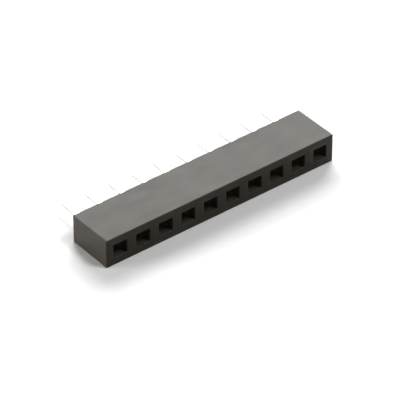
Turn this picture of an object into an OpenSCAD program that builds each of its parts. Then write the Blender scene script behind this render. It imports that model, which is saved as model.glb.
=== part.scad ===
// Single-row socket strip that takes square pins, lying on one long side of its housing.
// X runs along the row, the sockets open towards -Y, the solder tails leave towards +Y and Z is up.
// The origin is the middle of the long side that the strip lies on.

/* [Row] */
// Number of sockets in the row
positions = 10; // [2:1:20]
// Distance from one socket's middle to the next
pitch = 2; // [1.8:0.05:2.6]
// Distance from the last socket's middle to the end of the housing
end_margin = 1.22; // [1:0.02:2]

/* [Housing] */
// Depth of the housing from the mating face to the board face
housing_d = 3.9; // [3.6:0.1:6]
// Height of the housing as it lies
housing_h = 2.34; // [2:0.02:3]
// Radius of the housing's outer edges
edge_r = 0.06; // [0.02:0.01:0.12]

/* [Socket mouths] */
// Width of a mouth along the row, at the mating face
mouth_w = 1.2; // [0.9:0.02:1.4]
// Height of a mouth across the row, at the mating face
mouth_h = 1.1; // [0.9:0.02:1.4]
// Chamfer round the rim of a mouth
rim_chamfer = 0.03; // [0.01:0.01:0.08]
// Depth of the straight-sided mouth, before the lead-in starts
mouth_d = 0.6; // [0.3:0.05:0.8]
// Depth of the sloping lead-in
lead_in_d = 0.27; // [0.1:0.01:0.4]
// Side of the square throat that guides the pin
throat_w = 0.66; // [0.6:0.02:0.8]
// Length of the straight throat behind the lead-in
throat_l = 0.1; // [0.06:0.02:0.3]

/* [Cavities] */
// Width of a cavity along the row
cavity_w = 1.2; // [1:0.02:1.5]
// Height of a cavity's front room, where the springs work
spring_room_h = 0.8; // [0.7:0.02:1]
// Drop from the row's middle plane to the floor of a cavity's rear room
floor_drop = 0.61; // [0.5:0.01:0.7]
// Chamfer round a cavity's opening in the board face
cavity_chamfer = 0.08; // [0.02:0.01:0.1]

/* [Contacts] */
// Thickness of the contact's sheet metal
sheet_t = 0.18; // [0.12:0.01:0.2]
// Inside radius of the sheet's folds
fold_r = 0.08; // [0.04:0.01:0.15]
// Length of the folded base along the cavity
base_l = 0.8; // [0.6:0.05:1.1]
// Distance from the board face in to the base
base_inset = 0.6; // [0.55:0.05:0.8]
// Width of each spring where it leaves the base
spring_w = 0.5; // [0.4:0.02:0.6]
// Width of each spring at its tip
spring_tip_w = 0.38; // [0.3:0.02:0.5]
// Width of the shoulder where the base's wall runs out into a spring
shoulder_w = 0.1; // [0.04:0.01:0.12]
// Gap between the springs where they pinch the pin
pinch_gap = 0.36; // [0.2:0.02:0.44]
// Gap between the flared tips of the springs
tip_gap = 0.7; // [0.6:0.02:0.74]
// Length of the flare, from the pinch to the tips
flare_l = 0.4; // [0.3:0.05:0.6]
// Radius of the springs' bends
spring_r = 0.4; // [0.2:0.05:0.6]

/* [Solder tails] */
// Width of a tail along the row
tail_w = 0.4; // [0.3:0.02:0.6]
// Length of a tail beyond the board face
tail_l = 2.8; // [1:0.1:6]
// Length of the tapered end of a tail
taper_l = 0.4; // [0.2:0.05:0.8]
// Width of the end face of a tail
tail_end_w = 0.2; // [0.1:0.02:0.28]

/* [Clearances] */
// Gap between a contact and each side wall of its cavity
side_gap = 0.03; // [0.02:0.01:0.05]
// Gap between a contact and the floor, the ceiling and the step of its cavity
seat_gap = 0.01; // [0.01:0.01:0.03]
// Gap left between a retention barb and the side wall
barb_gap = 0.005; // [0.005:0.005:0.015]
// Gap between the spring tips and the front wall of the cavity
tip_clearance = 0.08; // [0.04:0.01:0.2]

/* [Hidden] */

// Arc steps in one fold, overrun of the cutting solids, and facets of a full circle
fold_steps = 5;
cut = 0.2;
$fn = 32;

// The housing's overall length, and the height of the row's middle plane
housing_l = (positions - 1) * pitch + 2 * end_margin;
axis_z = housing_h / 2;

// Places along Y, from the mating face at the front to the board face at the back
front_y = -housing_d / 2;
lead_y = front_y + mouth_d;
lead_end_y = lead_y + lead_in_d;
room_y = lead_end_y + throat_l;
back_y = housing_d / 2;
base_back_y = back_y - base_inset;
base_front_y = base_back_y - base_l;
step_y = base_front_y - seat_gap;
tip_y = room_y + tip_clearance;
pinch_y = tip_y + flare_l;
tail_end_y = back_y + tail_l;

// The contact's outer width, and the middle of its sheet in each folded wall and spring
contact_w = cavity_w - 2 * side_gap;
wall_x = contact_w / 2 - sheet_t / 2;
pinch_x = pinch_gap / 2 + sheet_t / 2;
tip_x = tip_gap / 2 + sheet_t / 2;

// Heights in a contact, measured from the row's middle plane
web_z = seat_gap - floor_drop + sheet_t / 2;
wall_top_z = spring_room_h / 2 - seat_gap;

// The fold's radius at the middle of the sheet
fold_mid_r = fold_r + sheet_t / 2;

// Retention barbs on the base's walls
barb_h = side_gap - barb_gap;
barb_l = base_l / 4;
barb_w = spring_w / 2;

// A unit vector at an angle, and the angle of the line from one corner to the next
function along(angle) = [cos(angle), sin(angle)];
function heading(corners, i) =
    atan2(corners[i + 1][1] - corners[i][1], corners[i + 1][0] - corners[i][0]);

// Points on one rounded corner of a line, each with the direction of travel there.
// The arc of radius r starts a setback of r tan(turn / 2) before the corner.
function corner_arc(corner, from, to, r) =
    let (turn = to - from)
    let (side = sign(turn))
    let (start = corner - r * tan(abs(turn) / 2) * along(from))
    let (centre = start + side * r * along(from + 90))
    [for (k = [0 : fold_steps])
        let (angle = from + turn * k / fold_steps)
        [centre - side * r * along(angle + 90), angle]];

// The middle line of a bent strip: straight between its corners, with an arc at each corner
function bent_line(corners, r) =
    let (last = len(corners) - 1)
    concat(
        [[corners[0], heading(corners, 0)]],
        [for (i = [1 : last - 1])
            each corner_arc(corners[i], heading(corners, i - 1), heading(corners, i), r)],
        [[corners[last], heading(corners, last - 1)]]);

// The outline of a sheet of thickness t that follows a middle line
function sheet_outline(line, t) = concat(
    [for (s = line) s[0] + t / 2 * along(s[1] + 90)],
    [for (i = [len(line) - 1 : -1 : 0]) line[i][0] - t / 2 * along(line[i][1] + 90)]);

// Middle of socket i, counted from 1 at the -X end
function socket_x(i) = (i - 1 - (positions - 1) / 2) * pitch;

// A flat outline in Y and Z, extruded to a width about the middle of X
module across_x(width) {
    translate([-width / 2, 0, 0])
        rotate([90, 0, 90])
            linear_extrude(width)
                children();
}

// A flat outline in X and Z, extruded from y0 to y1
module across_y(y0, y1) {
    translate([0, y1, 0])
        rotate([90, 0, 0])
            linear_extrude(y1 - y0)
                children();
}

// A flat outline in X and Y, extruded from z0 to z1
module across_z(z0, z1) {
    translate([0, 0, z0])
        linear_extrude(z1 - z0)
            children();
}

module rounded_rectangle(w, h, r) {
    square([w - 2 * r, h], center = true);
    square([w, h - 2 * r], center = true);
    for (sx = [-1, 1], sy = [-1, 1])
        translate([sx * (w / 2 - r), sy * (h / 2 - r)])
            circle(r);
}

// The housing's outer block, rounded on all twelve edges
module block() {
    intersection() {
        across_x(housing_l)
            rounded_rectangle(housing_d, housing_h, edge_r);
        across_y(front_y, back_y)
            rounded_rectangle(housing_l, housing_h, edge_r);
        across_z(-axis_z, axis_z)
            rounded_rectangle(housing_l, housing_d, edge_r);
    }
}

// One side of a mouth's opening, from outside the mating face into the cavity
function mouth_side(mouth, throat) = [
    [front_y - cut, mouth / 2 + rim_chamfer],
    [front_y, mouth / 2 + rim_chamfer],
    [front_y + rim_chamfer, mouth / 2],
    [lead_y, mouth / 2],
    [lead_end_y, throat / 2],
    [room_y + cut, throat / 2]];

// The whole outline: one side as given, and its mirror image in reverse
function mirrored(side) = concat(
    side,
    [for (i = [len(side) - 1 : -1 : 0]) [side[i][0], -side[i][1]]]);

// Rectangular mouth, four-sided lead-in and square throat, where plan and side view both open
module mouth_cut() {
    intersection() {
        across_z(-mouth_h, mouth_h)
            mirror([1, -1])
                polygon(mirrored(mouth_side(mouth_w, throat_w)));
        across_x(2 * mouth_w)
            polygon(mirrored(mouth_side(mouth_h, throat_w)));
    }
}

// Front room for the springs and a lower rear room for the base, with the step between them
module cavity_cut() {
    ceiling_z = spring_room_h / 2;
    across_x(cavity_w)
        polygon([
            [room_y, -ceiling_z],
            [step_y, -ceiling_z],
            [step_y, -floor_drop],
            [back_y + cut, -floor_drop],
            [back_y + cut, ceiling_z],
            [room_y, ceiling_z]]);
    intersection() {
        across_x(cavity_w + 2 * cavity_chamfer)
            polygon([
                [back_y - cavity_chamfer, -floor_drop],
                [back_y, -floor_drop - cavity_chamfer],
                [back_y + cut, -floor_drop - cavity_chamfer],
                [back_y + cut, ceiling_z + cavity_chamfer],
                [back_y, ceiling_z + cavity_chamfer],
                [back_y - cavity_chamfer, ceiling_z]]);
        across_z(-housing_h, housing_h)
            mirror([1, -1])
                polygon(mirrored([
                    [back_y - cavity_chamfer, cavity_w / 2],
                    [back_y, cavity_w / 2 + cavity_chamfer],
                    [back_y + cut, cavity_w / 2 + cavity_chamfer]]));
    }
}

// Moulded housing: the block with a mouth and a cavity at each position
module housing() {
    color([0.17, 0.17, 0.165])
        translate([0, 0, axis_z])
            difference() {
                block();
                for (i = [1 : positions])
                    translate([socket_x(i), 0, 0]) {
                        mouth_cut();
                        cavity_cut();
                    }
            }
}

// The base's cross-section: a flat web with a wall folded up along each side
module base_section() {
    corners = [[-wall_x, wall_top_z], [-wall_x, web_z], [wall_x, web_z], [wall_x, wall_top_z]];
    polygon(sheet_outline(bent_line(corners, fold_mid_r), sheet_t));
}

// One spring in plan: out of the base's wall, in to the pinch and out again to the tip
module spring_plan() {
    corners = [
        [wall_x, base_front_y + shoulder_w],
        [wall_x, base_front_y - shoulder_w],
        [pinch_x, pinch_y],
        [tip_x, tip_y]];
    polygon(sheet_outline(bent_line(corners, spring_r), sheet_t));
}

// One spring from the side: a sloping shoulder off the wall, then a taper to the tip
module spring_side() {
    polygon(mirrored([
        [base_front_y + shoulder_w, spring_w / 2 + shoulder_w],
        [base_front_y, spring_w / 2 + shoulder_w],
        [base_front_y - shoulder_w, spring_w / 2],
        [tip_y, spring_tip_w / 2]]));
}

// The web and the tail from the side: an offset bend brings the tail to the middle plane
module tail_side() {
    corners = [
        [base_back_y - fold_mid_r, web_z],
        [base_back_y, web_z],
        [base_back_y - web_z, 0],
        [tail_end_y, 0]];
    polygon(sheet_outline(bent_line(corners, fold_mid_r), sheet_t));
}

// The tail in plan, with its tapered end
module tail_plan() {
    mirror([1, -1])
        polygon(mirrored([
            [base_back_y - 2 * fold_mid_r, tail_w / 2],
            [tail_end_y - taper_l, tail_w / 2],
            [tail_end_y, tail_end_w / 2]]));
}

// A barb on the outside of a wall: a ramp that lets the base in and an edge that holds it
module barb() {
    across_z(-barb_w / 2, barb_w / 2)
        polygon([
            [contact_w / 2 - sheet_t / 2, base_back_y - barb_l],
            [contact_w / 2, base_back_y - barb_l],
            [contact_w / 2 + barb_h, base_back_y - barb_l / 2],
            [contact_w / 2 - sheet_t / 2, base_back_y - barb_l / 2]]);
}

// Stamped and folded contact number i, with its tail
module contact(i) {
    color([0.8, 0.79, 0.76])
        translate([socket_x(i), 0, axis_z]) {
            across_y(base_front_y, base_back_y)
                base_section();
            for (side = [0, 1])
                mirror([side, 0, 0]) {
                    intersection() {
                        across_z(-spring_w, spring_w)
                            spring_plan();
                        across_x(2 * contact_w)
                            spring_side();
                    }
                    barb();
                }
            intersection() {
                across_x(contact_w)
                    tail_side();
                across_z(web_z - sheet_t, sheet_t)
                    tail_plan();
            }
        }
}

housing();
for (i = [1 : positions])
    contact(i);
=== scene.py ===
# %% [markdown]
# # A female pin header strip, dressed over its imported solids
# The strip is a black moulded housing with ten spring contacts pushed in from the board face.
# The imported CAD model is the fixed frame: it gives every piece its place and its size. This
# lesson lays a finer skin over each solid, gives each its finish, and lights them.

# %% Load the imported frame
import bmesh
import bpy
import numpy as np
from mathutils import Matrix, Vector


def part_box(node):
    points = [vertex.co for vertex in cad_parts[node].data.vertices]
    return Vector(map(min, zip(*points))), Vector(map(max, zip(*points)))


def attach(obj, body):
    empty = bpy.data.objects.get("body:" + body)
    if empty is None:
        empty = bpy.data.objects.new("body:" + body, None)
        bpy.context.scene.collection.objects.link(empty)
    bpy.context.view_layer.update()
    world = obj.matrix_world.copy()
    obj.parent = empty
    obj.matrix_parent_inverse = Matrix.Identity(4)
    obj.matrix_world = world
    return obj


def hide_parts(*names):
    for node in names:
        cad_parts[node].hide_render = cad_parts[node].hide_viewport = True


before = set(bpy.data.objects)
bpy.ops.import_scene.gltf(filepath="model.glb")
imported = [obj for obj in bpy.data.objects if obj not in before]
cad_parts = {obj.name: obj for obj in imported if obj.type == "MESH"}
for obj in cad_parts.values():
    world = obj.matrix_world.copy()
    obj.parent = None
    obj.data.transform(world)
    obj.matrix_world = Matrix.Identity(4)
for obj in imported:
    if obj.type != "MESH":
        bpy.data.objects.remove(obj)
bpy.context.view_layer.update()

MM = 0.001
SAME_POINT = 0.0001 * MM
contact_names = sorted((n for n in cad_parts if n.startswith("contact_")),
                       key=lambda n: int(n.split("_")[1]))

# %% [markdown]
# ## Sizes taken from the frame
# The housing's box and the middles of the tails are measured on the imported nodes, so the skins
# follow the solids if those are rebuilt. What a box can't tell, such as the mouth of a socket,
# is written here once, in millimetres, with the same values as the solids.

# %% Measure the housing and the row
housing_low, housing_high = (np.array(c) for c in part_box("housing"))
half_length = housing_high[0]
front_y, back_y = housing_low[1], housing_high[1]
height = housing_high[2]
axis_z = height / 2
row_x = np.array([(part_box(n)[0][0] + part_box(n)[1][0]) / 2 for n in contact_names])
tail_end_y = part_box(contact_names[0])[1][1]
pitch = float(np.mean(np.diff(row_x)))
print("pitch %.3f mm, tails %.2f mm long" % (pitch / MM, (tail_end_y - back_y) / MM))

# %% Sizes of a socket and its cavity
edge_r = 0.06 * MM
mouth_half_w, mouth_half_h = 0.6 * MM, 0.55 * MM
rim_r = 0.03 * MM
lead_y = front_y + 0.6 * MM
lead_end_y = lead_y + 0.27 * MM
throat_half = 0.33 * MM
room_y = lead_end_y + 0.1 * MM
cavity_half_w = 0.6 * MM
room_half_h = 0.4 * MM
floor_drop = 0.61 * MM
cavity_chamfer = 0.08 * MM
inner_corner_r = 0.05 * MM
print("a socket narrows from %.2f to %.2f mm between %.2f and %.2f mm behind the front"
      % tuple(v / MM for v in (2 * mouth_half_w, 2 * throat_half, lead_y - front_y,
                               lead_end_y - front_y)))

# %% Sizes of a contact
sheet_t = 0.18 * MM
fold_mid_r = 0.17 * MM
seat_gap, side_gap = 0.01 * MM, 0.03 * MM
base_l = 0.8 * MM
base_back_y = back_y - 0.6 * MM
base_front_y = base_back_y - base_l
step_y = base_front_y - seat_gap
contact_half_w = cavity_half_w - side_gap
wall_x = contact_half_w - sheet_t / 2
web_z = axis_z - floor_drop + seat_gap + sheet_t / 2
wall_top_z = axis_z + room_half_h - seat_gap
print("a contact's base is %.2f mm wide and %.2f mm long" % (2 * contact_half_w / MM, base_l / MM))

# %% [markdown]
# ## From arrays to meshes
# Every skin here is a grid of points worked out as one array. A grid becomes quads by pairing
# each point with its neighbours, again as whole arrays. Edges that two grids share are then
# merged, and the faces are turned outwards, because a closed skin must have no seam.

# %% Grid helpers
def grid_quads(rows, columns, closed):
    """Quads of a grid: point (r, c) joins (r, c+1), (r+1, c+1) and (r+1, c). A closed grid joins
    its last column to its first."""
    r = np.arange(rows - 1)[:, None]
    c = np.arange(columns if closed else columns - 1)[None, :]
    n = (c + 1) % columns
    quads = np.stack([r * columns + c, r * columns + n,
                      (r + 1) * columns + n, (r + 1) * columns + c], axis=-1)
    return quads.reshape(-1, 4)


print("a closed grid of 3 by 4 points has", len(grid_quads(3, 4, True)), "quads")


# %% Meshes from arrays
def mesh_from_faces(name, points, quads):
    """A mesh straight from arrays of points and quads."""
    mesh = bpy.data.meshes.new(name)
    mesh.vertices.add(len(points))
    mesh.vertices.foreach_set("co", points.astype(np.float32).ravel())
    mesh.loops.add(quads.size)
    mesh.loops.foreach_set("vertex_index", quads.astype(np.int32).ravel())
    mesh.polygons.add(len(quads))
    mesh.polygons.foreach_set("loop_start", np.arange(0, quads.size, 4, dtype=np.int32))
    mesh.update(calc_edges=True)
    return mesh


def mesh_of_grids(name, grids, edge_weights=None):
    """One mesh of several grids, each (points of shape rows x columns x 3, closed). Shared edges
    are merged. edge_weights holds one array per grid, kept as the point attribute 'edge'."""
    points, quads, start = [], [], 0
    for grid, closed in grids:
        rows, columns = grid.shape[:2]
        points.append(grid.reshape(-1, 3))
        quads.append(grid_quads(rows, columns, closed) + start)
        start += rows * columns
    points, quads = np.concatenate(points), np.concatenate(quads)
    mesh = mesh_from_faces(name, points, quads)
    if edge_weights is not None:
        layer = mesh.attributes.new("edge", "FLOAT", "POINT")
        layer.data.foreach_set("value", np.concatenate(
            [w.ravel() for w in edge_weights]).astype(np.float32))
    work = bmesh.new()
    work.from_mesh(mesh)
    bmesh.ops.remove_doubles(work, verts=work.verts, dist=SAME_POINT)
    bmesh.ops.dissolve_degenerate(work, edges=work.edges, dist=SAME_POINT)
    bmesh.ops.recalc_face_normals(work, faces=work.faces)
    open_edges = sum(1 for e in work.edges if len(e.link_faces) != 2)
    work.to_mesh(mesh)
    work.free()
    return mesh, open_edges


# %% Put a skin in its place
def show(mesh, node):
    """The object for a finished skin, riding on the body and standing for its CAD node."""
    piece = bpy.data.objects.new(mesh.name, mesh)
    bpy.context.scene.collection.objects.link(piece)
    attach(piece, "root")
    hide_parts(node)
    return piece


print("skins will stand for", len(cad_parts), "nodes")

# %% [markdown]
# ## The housing's sockets
# On the real part the housing is one injection moulding. Steel cores pull out of the front and
# the back, and leave at each position a mouth with a rounded rim, a sloping lead-in, a square
# throat and a cavity whose floor steps down. A boolean could cut these, but it leaves uneven
# triangles that shade badly. Instead each position is one loft: a rounded rectangle that
# changes size from station to station, from the front face, in through the socket, and out to
# the back face. Its first and last loops lie on the housing's outer faces.

# %% Stations of one socket
CORNER_STEPS = 4
ROUND_STEPS = 4
quarter = np.linspace(0, np.pi / 2, ROUND_STEPS + 1)


def socket_stations():
    """One row per station: y, half width, floor z, ceiling z, corner radius and edge weight. The
    rim is a quarter circle: size rim (1 - sin a) at depth rim (1 - cos a)."""
    low, high = axis_z - mouth_half_h, axis_z + mouth_half_h
    corner = inner_corner_r
    rim = [[front_y + rim_r * (1 - np.cos(a)), mouth_half_w + grow, low - grow, high + grow,
            corner + grow, np.sin(2 * a)]
           for a, grow in zip(quarter, rim_r * (1 - np.sin(quarter)))]
    t, w, h = throat_half, cavity_half_w, room_half_h
    ceiling = axis_z + h
    floor = axis_z - floor_drop
    slope = 0.02 * MM   # steps lean by this much, which keeps their loops apart
    c = cavity_chamfer
    deep = [
        [lead_y - slope, mouth_half_w, low, high, corner, 0],
        [lead_y, mouth_half_w - slope / 4, low + slope / 4, high - slope / 4, corner, 0],
        [lead_end_y, t, axis_z - t, axis_z + t, corner, 0],
        [room_y, t, axis_z - t, axis_z + t, corner, 0],
        [room_y + slope / 2, w, axis_z - h, ceiling, corner, 0],
        [step_y - slope, w, axis_z - h, ceiling, corner, 0],
        [step_y - slope / 4, w, floor, ceiling, corner, 0],
        [back_y - c, w, floor, ceiling, corner, 0],
        [back_y, w + c, floor - c, ceiling + c, corner + c, 0.4]]
    return np.array(rim + deep)


print("stations of a socket:", len(socket_stations()))

# %% Loops at the stations
corner_sign_x = np.array([1, -1, -1, 1])[:, None]
corner_sign_z = np.array([1, 1, -1, -1])[:, None]
sweep = np.linspace(0, 1, CORNER_STEPS + 1)[None, :]
turn = (np.arange(4)[:, None] + sweep) * np.pi / 2


def station_loops(stations):
    """Rounded rectangles, one per station. A corner's point is its centre plus the radius times
    (cos, sin) of the turn, and the centre lies one radius in from both sides."""
    y, half_w, floor, ceiling, radius = (stations[:, k, None, None] for k in range(5))
    side_z = np.where(corner_sign_z > 0, ceiling - radius, floor + radius)
    x = corner_sign_x * (half_w - radius) + radius * np.cos(turn)
    z = side_z + radius * np.sin(turn)
    loops = np.stack([x, np.broadcast_to(y, x.shape), z], axis=-1)
    return loops.reshape(len(stations), -1, 3)


print("points in a station's loop:", turn.size)

# %% The loop on a face
FACE_REACH = 0.3 * MM   # how far the loop's points lie from a cell's corner


def face_loop(left, right, y):
    """The same loop spread over a cell of a flat face. Half of each corner's points run up to
    the cell's corner along one side, and the rest leave it along the next side."""
    before = np.maximum(1 - 2 * sweep, 0) * FACE_REACH
    after = np.maximum(2 * sweep - 1, 0) * FACE_REACH
    even = (np.arange(4) % 2 == 0)[:, None]
    edge_x = np.where(corner_sign_x > 0, right, left)
    edge_z = np.where(corner_sign_z > 0, height - edge_r, edge_r)
    x = edge_x - corner_sign_x * np.where(even, after, before)
    z = edge_z - corner_sign_z * np.where(even, before, after)
    return np.stack([x, np.full_like(x, y), z], axis=-1).reshape(1, -1, 3)


print("points in a face's loop:", face_loop(row_x[0], row_x[1], front_y).shape[1])

# %% Ten lofts side by side
inner_half = half_length - edge_r
cell_edges = np.concatenate([[-inner_half], (row_x[1:] + row_x[:-1]) / 2, [inner_half]])
loops = station_loops(socket_stations())
socket_grids, socket_weights = [], []
for x, left, right in zip(row_x, cell_edges[:-1], cell_edges[1:]):
    grid = np.concatenate([face_loop(left, right, front_y), loops + [x, 0, 0],
                           face_loop(left, right, back_y)])
    weight = np.concatenate([[0], socket_stations()[:, 5], [0]])
    socket_grids.append((grid, True))
    socket_weights.append(np.repeat(weight, grid.shape[1]))
print("points in one socket's loft:", grid.shape[0] * grid.shape[1])

# %% [markdown]
# ## The housing's outside
# The outside is a plain block, but no moulding has razor edges: the tool leaves a small radius,
# and that radius is what catches the light along the strip. A cube with a Bevel modifier would
# look the same, but its faces couldn't share their points with the sockets' loops, and the skin
# would have gaps. So the outline of the front face is carried to the back face. At each station
# it grows by r sin(a) along its own normals while it moves r (1 - cos(a)) in depth, which rounds
# the edges and the eight corners at once.

# %% Outline of the front face
def face_outline():
    """The front face's outline, anticlockwise: points and outward normals, both as x and z. Its
    points match the cells' loops, and each corner turns through 90 degrees on the spot."""
    steps = np.array([0, 0.5, 1]) * FACE_REACH
    low, high = edge_r, height - edge_r
    z = np.concatenate([low + steps, high - steps[::-1]])
    x = np.unique(np.concatenate(
        [cell_edges[:-1, None] + steps, cell_edges[1:, None] - steps]).round(9))
    arc = quarter[1:-1]
    points, normals = [], []
    sides = [(np.full_like(z, inner_half), z), (x[::-1], np.full_like(x, high)),
             (np.full_like(z, -inner_half), z[::-1]), (x, np.full_like(x, low))]
    for q, (px, pz) in enumerate(sides):
        points += [np.stack([px, pz], 1), np.repeat([[px[-1], pz[-1]]], len(arc), axis=0)]
        angle = np.concatenate([np.full(len(px), q * np.pi / 2), q * np.pi / 2 + arc])
        normals.append(np.stack([np.cos(angle), np.sin(angle)], 1))
    return np.concatenate(points), np.concatenate(normals)


outline, outward = face_outline()
print("points in the outline:", len(outline))

# %% The outline carried to the back face
turn_in = np.concatenate([quarter, quarter[::-1]])
skin_y = np.concatenate([front_y + edge_r * (1 - np.cos(quarter)),
                         back_y - edge_r * (1 - np.cos(quarter[::-1]))])
skin_xz = outline + outward * (edge_r * np.sin(turn_in))[:, None, None]
skin = np.stack([skin_xz[..., 0], np.broadcast_to(skin_y[:, None], skin_xz.shape[:2]),
                 skin_xz[..., 1]], axis=-1)
on_corner = np.abs(2 * outward[:, 0] * outward[:, 1])
skin_weight = np.maximum(np.sin(2 * turn_in)[:, None], on_corner * np.sin(turn_in)[:, None])
print("outside skin: %d rows of %d points" % skin.shape[:2])

# %% One closed housing
housing_mesh, open_edges = mesh_of_grids(
    "moulded_housing", socket_grids + [(skin, True)], socket_weights + [skin_weight])
print("housing skin:", len(housing_mesh.polygons), "faces,", open_edges, "open edges")

# %% [markdown]
# ## Shading the housing
# A mould's rounds run smoothly into its flat faces, while the steps inside a socket are crisp.
# All-smooth shading would bend the light over the flats, and all-flat would show every facet of
# the rounds. So edges up to 35 degrees are smoothed, and the Weighted Normal modifier lets the
# large faces decide, which keeps the flats even.

# %% Smooth only what is round
SHARP = np.radians(35)
housing_mesh.shade_smooth()
housing_mesh.set_sharp_from_angle(angle=SHARP)
housing = show(housing_mesh, "housing")
flat_faces = housing.modifiers.new("flat_faces", "WEIGHTED_NORMAL")
flat_faces.keep_sharp = True
print("edges kept sharp:", sum(1 for edge in housing_mesh.edges if edge.use_edge_sharp))

# %% [markdown]
# ## The contacts
# A contact is stamped from thin sheet and folded: a U-shaped base, a spring running forward from
# each wall, and a solder tail running back from the web. Boxes and booleans would do for a
# distant view, but sheet metal reads as real only if its bends are smooth, its thickness is
# even and its cut edges are slightly rolled. So the middle of the sheet is worked out as four
# grids that share their joining rows, each point with the direction that faces outwards. Both
# skins are then that sheet moved out and in by half the thickness.

# %% A line that bends
def bent_line(corners, radius, step):
    """Points along a line that is straight between its corners and turns through an arc at each,
    with the direction of travel in the last two columns. An arc starts radius x tan(turn / 2)
    before its corner, and is cut into steps of equal turn."""
    corners = np.asarray(corners, float)
    run = np.diff(corners, axis=0)
    ahead = run / np.hypot(*run.T)[:, None]
    pieces = [np.hstack([corners[:1], ahead[:1]])]
    for k in range(1, len(corners) - 1):
        a, b = ahead[k - 1], ahead[k]
        bend = np.arctan2(a[0] * b[1] - a[1] * b[0], a @ b)
        inwards = np.sign(bend) * np.array([-a[1], a[0]])
        start = corners[k] - a * radius * np.tan(abs(bend) / 2)
        count = max(int(np.ceil(abs(bend) / step)), 2) + 1
        u = np.linspace(0, abs(bend), count)[:, None]
        pieces.append(np.hstack([start + radius * (np.sin(u) * a + (1 - np.cos(u)) * inwards),
                                 np.cos(u) * a + np.sin(u) * inwards]))
    pieces.append(np.hstack([corners[-1:], ahead[-1:]]))
    return np.concatenate(pieces)


def refined(line, longest, before_end):
    """The same line with its long runs cut into equal parts, and with points added at these
    distances before its end."""
    span = np.hypot(*np.diff(line[:, :2], axis=0).T)
    parts = np.maximum(np.ceil(span / longest).astype(int), 1)
    at = np.concatenate([[0], np.cumsum(span)])
    where = np.concatenate([at[k] + span[k] * np.arange(n) / n for k, n in enumerate(parts)])
    where = np.unique(np.concatenate([where, at[-1] - np.array([0, *before_end])]).round(9))
    return np.stack([np.interp(where, at, column) for column in line.T], axis=1)


right_angle = bent_line([[0, 0], [1, 0], [1, 1]], 0.5, np.radians(15))
print("a right angle bent in steps of 15 degrees has", len(right_angle), "points")

# %% The folded base
EDGE_ROLL = 0.025 * MM
CLEAR_OF_ROLL = 0.04 * MM
spring_half_w = 0.25 * MM
barb_half_w, barb_h = 0.125 * MM, 0.025 * MM
barb_foot, barb_top, barb_end = 0.2 * MM, 0.1 * MM, 0.07 * MM
BARB_ROW = 0.05 * MM
wall_half = axis_z - web_z - fold_mid_r
wall_steps = np.array([wall_half, spring_half_w, barb_half_w])
across = np.concatenate([wall_steps, [0], -wall_steps[::-1]]) / wall_half
tail_half_w = 0.2 * MM
tail_across = np.linspace(-1, 1, 5)
FOLD_STEPS = 7


def base_section():
    """The U in x and z, with its outward direction: down the left wall, round a fold, along the
    web, round a fold and up. A fold is a quarter circle of the sheet's middle radius."""
    wall = np.concatenate([[wall_top_z], axis_z + wall_half * across])
    left_wall = np.stack([np.full_like(wall, -wall_x), wall,
                          np.full_like(wall, -1), np.zeros_like(wall)], 1)
    a = np.linspace(0, np.pi / 2, FOLD_STEPS + 1)[1:-1]
    out = -np.stack([np.cos(a), np.sin(a)], 1)
    centre = np.array([fold_mid_r - wall_x, web_z + fold_mid_r])
    left_fold = np.hstack([centre + fold_mid_r * out, out])
    web = np.concatenate([[centre[0]], tail_across * tail_half_w, [-centre[0]]])
    web = np.stack([web, np.full_like(web, web_z), np.zeros_like(web), -np.ones_like(web)], 1)
    mirror = np.array([-1, 1, -1, 1])
    return np.concatenate([left_wall, left_fold, web,
                           left_fold[::-1] * mirror, left_wall[::-1] * mirror])


def base_grid():
    """The U carried straight along y, as points, outward directions and the height of the barb.
    The barb rises evenly from its foot to its top and then drops, so it slides in and bites."""
    section = base_section()
    before_back = np.array([base_l, base_l - BARB_ROW, 0.6 * MM, 0.4 * MM, barb_foot,
                            barb_foot - BARB_ROW, barb_top, barb_end, CLEAR_OF_ROLL, 0])
    rows = base_back_y - before_back
    rise = np.interp(before_back, [barb_end, barb_top, barb_foot], [0, 1, 0])
    on_wall = np.abs(section[:, 2]) > 0.999
    in_barb = np.abs(section[:, 1] - axis_z) < barb_half_w * 1.01
    shape = (len(rows), len(section))
    x, z, out_x, out_z = (np.broadcast_to(c, shape) for c in section.T)
    y = np.broadcast_to(rows[:, None], shape)
    return (np.stack([x, y, z], -1), np.stack([out_x, np.zeros(shape), out_z], -1),
            barb_h * rise[:, None] * (on_wall & in_barb))


print("base grid:", base_grid()[0].shape[:2])

# %% The springs
shoulder_w = 0.1 * MM
spring_tip_half_w = 0.19 * MM
tip_clearance, flare_l = 0.08 * MM, 0.4 * MM
pinch_half_gap, tip_half_gap = 0.18 * MM, 0.35 * MM
spring_bend_r, spring_turn, spring_part = 0.4 * MM, np.radians(4), 0.06 * MM
tip_y = room_y + tip_clearance
pinch_y = tip_y + flare_l
pinch_x = pinch_half_gap + sheet_t / 2
tip_x = tip_half_gap + sheet_t / 2


def spring_grid(side):
    """One spring: its line in plan, and across it a width that eases from the wall's to the
    spring's over the shoulder, then narrows evenly to the tip. Outwards is the line's own
    direction turned through 90 degrees."""
    line = refined(bent_line(
        [[wall_x, base_front_y], [wall_x, base_front_y - shoulder_w],
         [pinch_x, pinch_y], [tip_x, tip_y]], spring_bend_r, spring_turn),
        spring_part, [CLEAR_OF_ROLL])
    x, y, go_x, go_y = line.T
    ease = np.clip((base_front_y - y) / (1.5 * shoulder_w), 0, 1)
    ease = ease * ease * (3 - 2 * ease)
    body = np.interp(-y, [-base_front_y, -tip_y], [spring_half_w, spring_tip_half_w])
    half_w = wall_half + (body - wall_half) * ease
    z = axis_z + half_w[:, None] * across
    x, y, out_x, out_y = (np.broadcast_to(c[:, None], z.shape)
                          for c in (side * x, y, -side * go_y, go_x))
    return np.stack([x, y, z], -1), np.stack([out_x, out_y, np.zeros(z.shape)], -1), 0 * z


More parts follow.
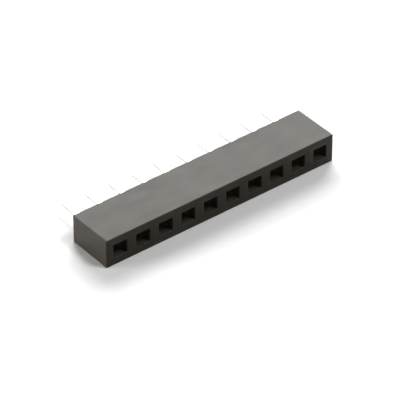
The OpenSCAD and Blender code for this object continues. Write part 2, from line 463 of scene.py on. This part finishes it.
print("spring grid:", spring_grid(1)[0].shape[:2])

# %% The solder tail
taper_l = 0.4 * MM
tail_end_half_w = 0.1 * MM
tail_turn, tail_part = np.radians(8), 0.3 * MM


def tail_grid():
    """The tail: its line from the side climbs from the web to the middle plane through two
    bends, and across it the width is even and then tapers to the end."""
    set_back = 0.08 * MM   # room for the first arc behind the base's last row
    climb = axis_z - web_z
    line = refined(bent_line(
        [[base_back_y, web_z], [base_back_y + set_back, web_z],
         [base_back_y + climb, axis_z], [tail_end_y, axis_z]], fold_mid_r, tail_turn),
        tail_part, [CLEAR_OF_ROLL, taper_l - CLEAR_OF_ROLL, taper_l, taper_l + CLEAR_OF_ROLL])
    y, z, go_y, go_z = line.T
    half_w = np.interp(y, [tail_end_y - taper_l, tail_end_y], [tail_half_w, tail_end_half_w])
    x = half_w[:, None] * tail_across
    y, z, out_y, out_z = (np.broadcast_to(c[:, None], x.shape) for c in (y, z, go_z, -go_y))
    return np.stack([x, y, z], -1), np.stack([np.zeros(x.shape), out_y, out_z], -1), 0 * x


print("tail grid:", tail_grid()[0].shape[:2])

# %% [markdown]
# ## From a middle sheet to stamped metal
# Solidify and Bevel could thicken the sheet, but at its narrow corners they throw spikes. The
# outward directions are known exactly, so it is surer to work the thickness out. Every edge
# that only one face uses is a cut edge. There the two skins stop one roll radius short, and a
# round of that radius turns from each of them into the straight cut between. The same formula
# gives the shading normals, so flat faces stay flat.

# %% Join the grids into one sheet
def joined_sheet(grids):
    """The grids as one set of points, with points that coincide made one, and quads that all
    wind anticlockwise round the outward direction."""
    points = np.concatenate([g[0].reshape(-1, 3) for g in grids])
    outward_dirs = np.concatenate([g[1].reshape(-1, 3) for g in grids])
    raised = np.concatenate([g[2].ravel() for g in grids])
    counts = np.cumsum([0] + [g[2].size for g in grids])
    quads = np.concatenate([grid_quads(*g[2].shape, False) + n for g, n in zip(grids, counts)])
    _, first, same = np.unique((points / SAME_POINT).round(), axis=0,
                               return_index=True, return_inverse=True)
    points, outward_dirs, raised = points[first], outward_dirs[first], raised[first]
    quads = same.reshape(-1)[quads]
    corners = points[quads]
    facing = np.cross(corners[:, 2] - corners[:, 0], corners[:, 3] - corners[:, 1])
    wrong = np.einsum("ij,ij->i", facing, outward_dirs[quads].sum(1)) < 0
    quads[wrong] = quads[wrong, ::-1]
    return points, outward_dirs, raised, quads


contact_grids = [base_grid(), spring_grid(-1), spring_grid(1), tail_grid()]
sheet_points, _, _, sheet_quads = joined_sheet(contact_grids)
print("points before and after joining:", sum(g[2].size for g in contact_grids),
      len(sheet_points))

# %% Cut edges
def cut_edges(quads, count):
    """The directed edges that only one quad uses, as start and end points."""
    start = quads.ravel()
    end = np.roll(quads, -1, axis=1).ravel()
    cut = ~np.isin(start * count + end, end * count + start)
    return start[cut], end[cut]


print("cut edges of the sheet:", len(cut_edges(sheet_quads, len(sheet_points))[0]))

# %% Rolled edges
ROLL_STEPS = 3


def rolled_rim(points, out, start, end):
    """Rings of points round the cut edges, and their normals. The way out of the sheet is
    travel x outward direction, mitred where two cut edges meet, m = (p + q) / (1 + p.q). The
    rings move -r + r sin(a) that way and t/2 - r + r cos(a) along the outward direction."""
    way = np.cross(points[end] - points[start], out[start] + out[end])
    way /= np.linalg.norm(way, axis=1)[:, None]
    leaving, arriving = np.zeros_like(points), np.zeros_like(points)
    leaving[start], arriving[end] = way, way
    p, q = leaving[start], arriving[start]
    mitre = (p + q) / (1 + np.einsum("ij,ij->i", p, q))[:, None]
    a = np.linspace(0, np.pi / 2, ROLL_STEPS + 1)
    sideways = np.concatenate([np.sin(a), np.sin(a[::-1])])[:, None, None]
    upwards = np.concatenate([np.cos(a), -np.cos(a[::-1])])[:, None, None]
    middle = (sheet_t / 2 - EDGE_ROLL) * np.repeat([1, -1], len(a))[:, None, None]
    rings = (points[start] + mitre * (EDGE_ROLL * (sideways - 1))
             + out[start] * (middle + EDGE_ROLL * upwards))
    return rings, mitre * sideways + out[start] * upwards


print("a cut edge turns through two rounds of", ROLL_STEPS, "steps")

# %% Both skins and the rim between them
def sheet_skin(grids):
    """Points, normals and faces of the whole skin: the sheet moved out and in by half its
    thickness, and closed by quads from ring to ring of its rim."""
    points, out, raised, quads = joined_sheet(grids)
    n = len(points)
    start, end = cut_edges(quads, n)
    rings, ring_normals = rolled_rim(points, out, start, end)
    outer = points + out * (sheet_t / 2 + raised)[:, None]
    inner = points - out * (sheet_t / 2)
    outer[start], inner[start] = rings[0], rings[-1]
    ids = 2 * n + np.arange((len(rings) - 2) * len(start)).reshape(-1, len(start))
    ids = np.concatenate([start[None], ids, start[None] + n])
    place = np.zeros(n, int)
    place[start] = np.arange(len(start))
    s, e = place[start], place[end]
    rim_quads = np.stack([ids[:-1][:, e], ids[:-1][:, s], ids[1:][:, s], ids[1:][:, e]], -1)
    skin_points = np.concatenate([outer, inner, rings[1:-1].reshape(-1, 3)])
    skin_normals = np.concatenate([out, -out, ring_normals[1:-1].reshape(-1, 3)])
    skin_normals /= np.linalg.norm(skin_normals, axis=1)[:, None]
    faces = np.concatenate([quads, quads[:, ::-1] + n, rim_quads.reshape(-1, 4)])
    return skin_points, skin_normals, faces


points, normals, faces = sheet_skin(contact_grids)
print("points in a contact's skin:", len(points))

# %% Ten contacts
contacts = []
for name, x in zip(contact_names, row_x):
    mesh = mesh_from_faces("sheet_" + name, points + [x, 0, 0], faces)
    mesh.shade_smooth()
    mesh.normals_split_custom_set_from_vertices(normals.tolist())
    contacts.append(show(mesh, name))
directed = np.stack([faces.ravel(), np.roll(faces, -1, axis=1).ravel()], 1)
print("contacts:", len(contacts), "skins of", len(faces), "faces; closed:",
      len(np.unique(directed, axis=0)) == len(directed)
      and not cut_edges(faces, len(points))[0].size)

# %% [markdown]
# ## Helpers for the materials
# A material is a small graph of nodes. It can be wired by hand in Blender's editor, but code says
# the same in fewer steps and can be read back. These helpers add a node with its settings, make
# a grain of a given real size, stretch a value and blend two colours. Every grain reads the
# object's own coordinates, so that it keeps its size and doesn't slide.

# %% Material helpers
def new_material(name):
    """An empty node material with its Principled shader and its output, and the coordinates."""
    material = bpy.data.materials.new(name)
    material.use_nodes = True
    tree = material.node_tree
    shader = tree.nodes["Principled BSDF"]
    coordinates = tree.nodes.new("ShaderNodeTexCoord")
    return material, tree, shader, coordinates.outputs["Object"]


def add_node(tree, kind, settings=None, **inputs):
    """A node of this kind. Inputs are named as on the node, with _ for a space; a socket given
    as an input is linked, and any other value is set."""
    node = tree.nodes.new(kind)
    for key, value in (settings or {}).items():
        setattr(node, key, value)
    for key, value in inputs.items():
        socket = node.inputs[key.replace("_", " ")]
        if isinstance(value, bpy.types.NodeSocket):
            tree.links.new(value, socket)
        else:
            socket.default_value = value
    return node


print("helpers for nodes: new_material, add_node")

# %% Grain, stretched values and blends
def grain(tree, where, size, detail, stretch=(1, 1, 1)):
    """Noise whose grains are about this size in metres, longer along an axis that is
    stretched."""
    scale = tuple(1 / (size * s) for s in stretch)
    mapped = add_node(tree, "ShaderNodeMapping", Vector=where, Scale=scale)
    noise = add_node(tree, "ShaderNodeTexNoise", Vector=mapped.outputs["Vector"], Scale=1.0,
                     Detail=detail, Roughness=0.55)
    return noise.outputs["Fac"]


def spread_to(tree, value, low, high, from_low=0.3, from_high=0.7):
    """A noise value stretched to run from low to high."""
    node = add_node(tree, "ShaderNodeMapRange", Value=value, From_Min=from_low,
                    From_Max=from_high, To_Min=low, To_Max=high)
    return node.outputs["Result"]


def blend(tree, factor, first, second):
    """One colour turning into another. Each is a colour or the output of a node."""
    node = tree.nodes.new("ShaderNodeMix")
    node.data_type = "RGBA"
    tree.links.new(factor, node.inputs["Factor"])
    for socket, value in ((node.inputs[6], first), (node.inputs[7], second)):
        if isinstance(value, bpy.types.NodeSocket):
            tree.links.new(value, socket)
        else:
            socket.default_value = (*value, 1)
    return node.outputs[2]


print("helpers for values: grain, spread_to, blend")

# %% [markdown]
# ## Moulded black plastic
# The housing is a glass-filled black plastic. Its skin is a fine satin texture copied from the
# spark-eroded tool, with faint cloudy flow marks, short lighter fibres just under the surface,
# and edges lighter with wear and a painted highlight. Colour, roughness and bump each get their
# own grain at its real size, because one shared noise would make all three change together.

# %% Housing material
PLASTIC_DARK, PLASTIC_LIGHT = (0.0438, 0.0380, 0.0285), (0.0530, 0.0461, 0.0348)
# the edge colour is lighter than the plastic: partly wear, partly a painted highlight on the
# rounds
FIBRE_COLOUR, EDGE_WEAR_AND_HIGHLIGHT = (0.075, 0.072, 0.066), (0.066, 0.063, 0.057)


def moulded_plastic():
    """Black plastic. The colour runs from dark to light with the flow marks, half-way to the
    fibres' where their noise peaks, and to the lighter edge colour by edge weight x a patchy
    noise: partly wear and partly a painted highlight along the rounds."""
    material, tree, shader, where = new_material("moulded_black_plastic")
    flow = grain(tree, where, 1.2 * MM, 4, (2, 1, 1))
    fibres = grain(tree, where, 0.05 * MM, 2, (5, 1.2, 1.2))
    tool = grain(tree, where, 0.035 * MM, 4)
    edge = add_node(tree, "ShaderNodeAttribute", {"attribute_name": "edge"}).outputs["Fac"]
    # edge weight x a patchy noise: where the lighter edge colour, wear and a painted highlight,
    # goes
    wear_and_highlight = add_node(tree, "ShaderNodeMath", {"operation": "MULTIPLY"})
    tree.links.new(edge, wear_and_highlight.inputs[0])
    tree.links.new(spread_to(tree, grain(tree, where, 0.4 * MM, 3), 0.2, 1.0), wear_and_highlight.inputs[1])
    colour = blend(tree, spread_to(tree, flow, 0, 1), PLASTIC_DARK, PLASTIC_LIGHT)
    colour = blend(tree, spread_to(tree, fibres, 0, 0.5, 0.62, 0.78), colour, FIBRE_COLOUR)
    colour = blend(tree, wear_and_highlight.outputs["Value"], colour, EDGE_WEAR_AND_HIGHLIGHT)
    tree.links.new(colour, shader.inputs["Base Color"])
    rough = spread_to(tree, flow, 0.40, 0.32)
    tree.links.new(rough, shader.inputs["Roughness"])
    bump = add_node(tree, "ShaderNodeBump", Height=tool, Strength=0.8, Distance=0.0022 * MM)
    tree.links.new(bump.outputs["Normal"], shader.inputs["Normal"])
    shader.inputs["Specular IOR Level"].default_value = 0.12
    return material


housing.data.materials.append(moulded_plastic())
print("housing finish:", housing.data.materials[0].name)

# %% [markdown]
# ## Bright tin
# The contacts are copper alloy strip with a bright tin plate. Rolling leaves fine lines along
# the strip, and the plate itself is faintly cloudy. A picture of brushed metal could give both,
# but it would stretch at the bends. Two noises keep their size there: one is drawn out along the
# tails for the lines, and one is round for the clouds.

# %% Contact material
TIN_LIGHT, TIN_DULL = (0.57, 0.56, 0.54), (0.47, 0.458, 0.437)


def tin_plate():
    """Tin. The clouds set both colour and roughness: where it is duller it is also rougher."""
    material, tree, shader, where = new_material("bright_tin_plate")
    clouds = grain(tree, where, 0.35 * MM, 3)
    lines = grain(tree, where, 0.012 * MM, 2, (1, 40, 1))
    colour = blend(tree, spread_to(tree, clouds, 0, 1), TIN_LIGHT, TIN_DULL)
    tree.links.new(colour, shader.inputs["Base Color"])
    tree.links.new(spread_to(tree, clouds, 0.24, 0.36), shader.inputs["Roughness"])
    bump = add_node(tree, "ShaderNodeBump", Height=lines, Strength=0.35, Distance=0.0008 * MM)
    tree.links.new(bump.outputs["Normal"], shader.inputs["Normal"])
    shader.inputs["Metallic"].default_value = 1.0
    return material


tin = tin_plate()
for piece in contacts:
    piece.data.materials.append(tin)
print("contact finish:", tin.name)

# %% [markdown]
# ## Floor and surroundings
# The strip lies on one plain white floor in a white room. The floor and the room are white where
# the camera or a reflection sees them, and a calmer grey where they only send soft light, so
# that the black plastic keeps its depth. The floor still takes the strip's shadow. It lies a
# hundredth of a millimetre under the strip, because two faces in one plane flicker.

# %% Which rays see the white
def seen_directly(tree):
    """The largest of three marks: 1 for a camera, glossy or transmission ray, and 0 for the rays
    of soft light."""
    path = tree.nodes.new("ShaderNodeLightPath")
    first = add_node(tree, "ShaderNodeMath", {"operation": "MAXIMUM"})
    tree.links.new(path.outputs["Is Camera Ray"], first.inputs[0])
    tree.links.new(path.outputs["Is Glossy Ray"], first.inputs[1])
    both = add_node(tree, "ShaderNodeMath", {"operation": "MAXIMUM"})
    tree.links.new(first.outputs["Value"], both.inputs[0])
    tree.links.new(path.outputs["Is Transmission Ray"], both.inputs[1])
    return both.outputs["Value"]


print("helper for the floor and the room: seen_directly")

# %% Floor
FLOOR_HALF = 0.6
FLOOR_Z = -0.01 * MM
FLOOR_SOFT, FLOOR_SEEN, FLOOR_GLOW = (0.30, 0.30, 0.30), (0.93, 0.93, 0.925), 0.06
floor_mesh, _ = mesh_of_grids("studio_floor", [(np.array(
    [[[-FLOOR_HALF, -FLOOR_HALF, FLOOR_Z], [FLOOR_HALF, -FLOOR_HALF, FLOOR_Z]],
     [[-FLOOR_HALF, FLOOR_HALF, FLOOR_Z], [FLOOR_HALF, FLOOR_HALF, FLOOR_Z]]]), False)])
floor = bpy.data.objects.new("studio_floor", floor_mesh)
bpy.context.scene.collection.objects.link(floor)
floor_material, tree, shader, where = new_material("white_floor")
paper = spread_to(tree, grain(tree, where, 0.3 * MM, 2), 0.985, 1.0)
soft = blend(tree, seen_directly(tree), FLOOR_SOFT, FLOOR_SEEN)
toned = add_node(tree, "ShaderNodeVectorMath", {"operation": "SCALE"}, Scale=paper)
tree.links.new(soft, toned.inputs[0])
tree.links.new(toned.outputs["Vector"], shader.inputs["Base Color"])
shader.inputs["Roughness"].default_value = 0.9
shader.inputs["Emission Color"].default_value = (1, 1, 1, 1)
glow = spread_to(tree, seen_directly(tree), 0, FLOOR_GLOW, 0, 1)
tree.links.new(glow, shader.inputs["Emission Strength"])
shader.inputs["Specular IOR Level"].default_value = 0.1
floor_mesh.materials.append(floor_material)
print("floor: %.1f m square, %.2f mm under the strip" % (2 * FLOOR_HALF, -FLOOR_Z / MM))

# %% World
ROOM_SOFT, ROOM_SEEN = 0.08, 1.0
world = bpy.data.worlds.new("white_room")
bpy.context.scene.world = world
world.use_nodes = True
tree = world.node_tree
background = tree.nodes["Background"]
background.inputs["Color"].default_value = (1, 1, 1, 1)
room_level = spread_to(tree, seen_directly(tree), ROOM_SOFT, ROOM_SEEN, 0, 1)
tree.links.new(room_level, background.inputs["Strength"])
print("room: strength", ROOM_SEEN, "where it is seen and", ROOM_SOFT, "for soft light")

# %% [markdown]
# ## Lamps
# Two soft boxes do most of the work. The back one stands where the camera sees it mirrored in
# the top face, which turns the black top into an even grey sheen. It is wide, so the tails drop
# only a faint shadow. The key stands in front, high on the right, and lights the floors of the
# sockets but not their right-hand walls. A low fill at the left lifts the end face. A lamp's
# power is its brightness x pi x area, so each box is given by how bright it looks.

# %% Soft boxes
LAMP_DISTANCE = 0.3


def soft_box(name, towards, wide, high, brightness):
    """A rectangular lamp that faces the strip from this direction, and isn't seen itself. Its
    power is brightness x pi x area."""
    towards = Vector(towards).normalized()
    data = bpy.data.lights.new(name, "AREA")
    data.shape = "RECTANGLE"
    data.size, data.size_y = wide, high
    data.energy = brightness * np.pi * wide * high
    lamp = bpy.data.objects.new(name, data)
    lamp.location = towards * LAMP_DISTANCE
    lamp.visible_camera = False
    lamp.rotation_euler = towards.to_track_quat("Z", "Y").to_euler()
    bpy.context.scene.collection.objects.link(lamp)
    return data.energy


powers = [
    soft_box("back_box", (0.49, 0.63, 0.60), wide=0.24, high=0.16, brightness=9.7),
    soft_box("key_box", (0.256, -0.393, 0.883), wide=0.08, high=0.08, brightness=18.3),
    soft_box("left_fill", (-0.88, 0.45, 0.14), wide=0.14, high=0.07, brightness=27.6)]
print("lamp powers in watts:", [round(p, 2) for p in powers])

# %% [markdown]
# ## Camera
# The photograph is taken from the strip's front left, 37 degrees above the table, with a long
# lens from about a quarter of a metre. The camera's place comes from its bearing, its height,
# its distance and a small tilt. Its axes are worked out from those, so nothing is aimed by eye.

# %% Photograph's camera
BEARING, LIFT, TILT = (np.radians(a) for a in (-37.95, 37.01, 0.22))
FOCAL_PIXELS, FRAME_PIXELS = 3460.0, 400
DISTANCE, SHIFT_RIGHT, SHIFT_DOWN = 0.2470, 0.00035, 0.00004
ahead = np.array([-np.sin(BEARING) * np.cos(LIFT), np.cos(BEARING) * np.cos(LIFT),
                  -np.sin(LIFT)])
level = np.array([np.cos(BEARING), np.sin(BEARING), 0])
below = np.cross(ahead, level)
right = level * np.cos(TILT) + below * np.sin(TILT)
down = below * np.cos(TILT) - level * np.sin(TILT)
camera_data = bpy.data.cameras.new("photo_camera")
camera_data.sensor_width = 36
camera_data.lens = FOCAL_PIXELS / FRAME_PIXELS * camera_data.sensor_width
camera_data.clip_start, camera_data.clip_end = 0.01, 10
camera = bpy.data.objects.new("photo_camera", camera_data)
bpy.context.scene.collection.objects.link(camera)
axes = np.eye(4)
axes[:3, 0], axes[:3, 1], axes[:3, 2] = right, -down, -ahead
axes[:3, 3] = -(SHIFT_RIGHT * right + SHIFT_DOWN * down + DISTANCE * ahead)
camera.matrix_world = Matrix(axes)
bpy.context.scene.camera = camera
bpy.context.scene.view_settings.view_transform = "Standard"
print("lens %.1f mm at %.3f m" % (camera_data.lens, DISTANCE))
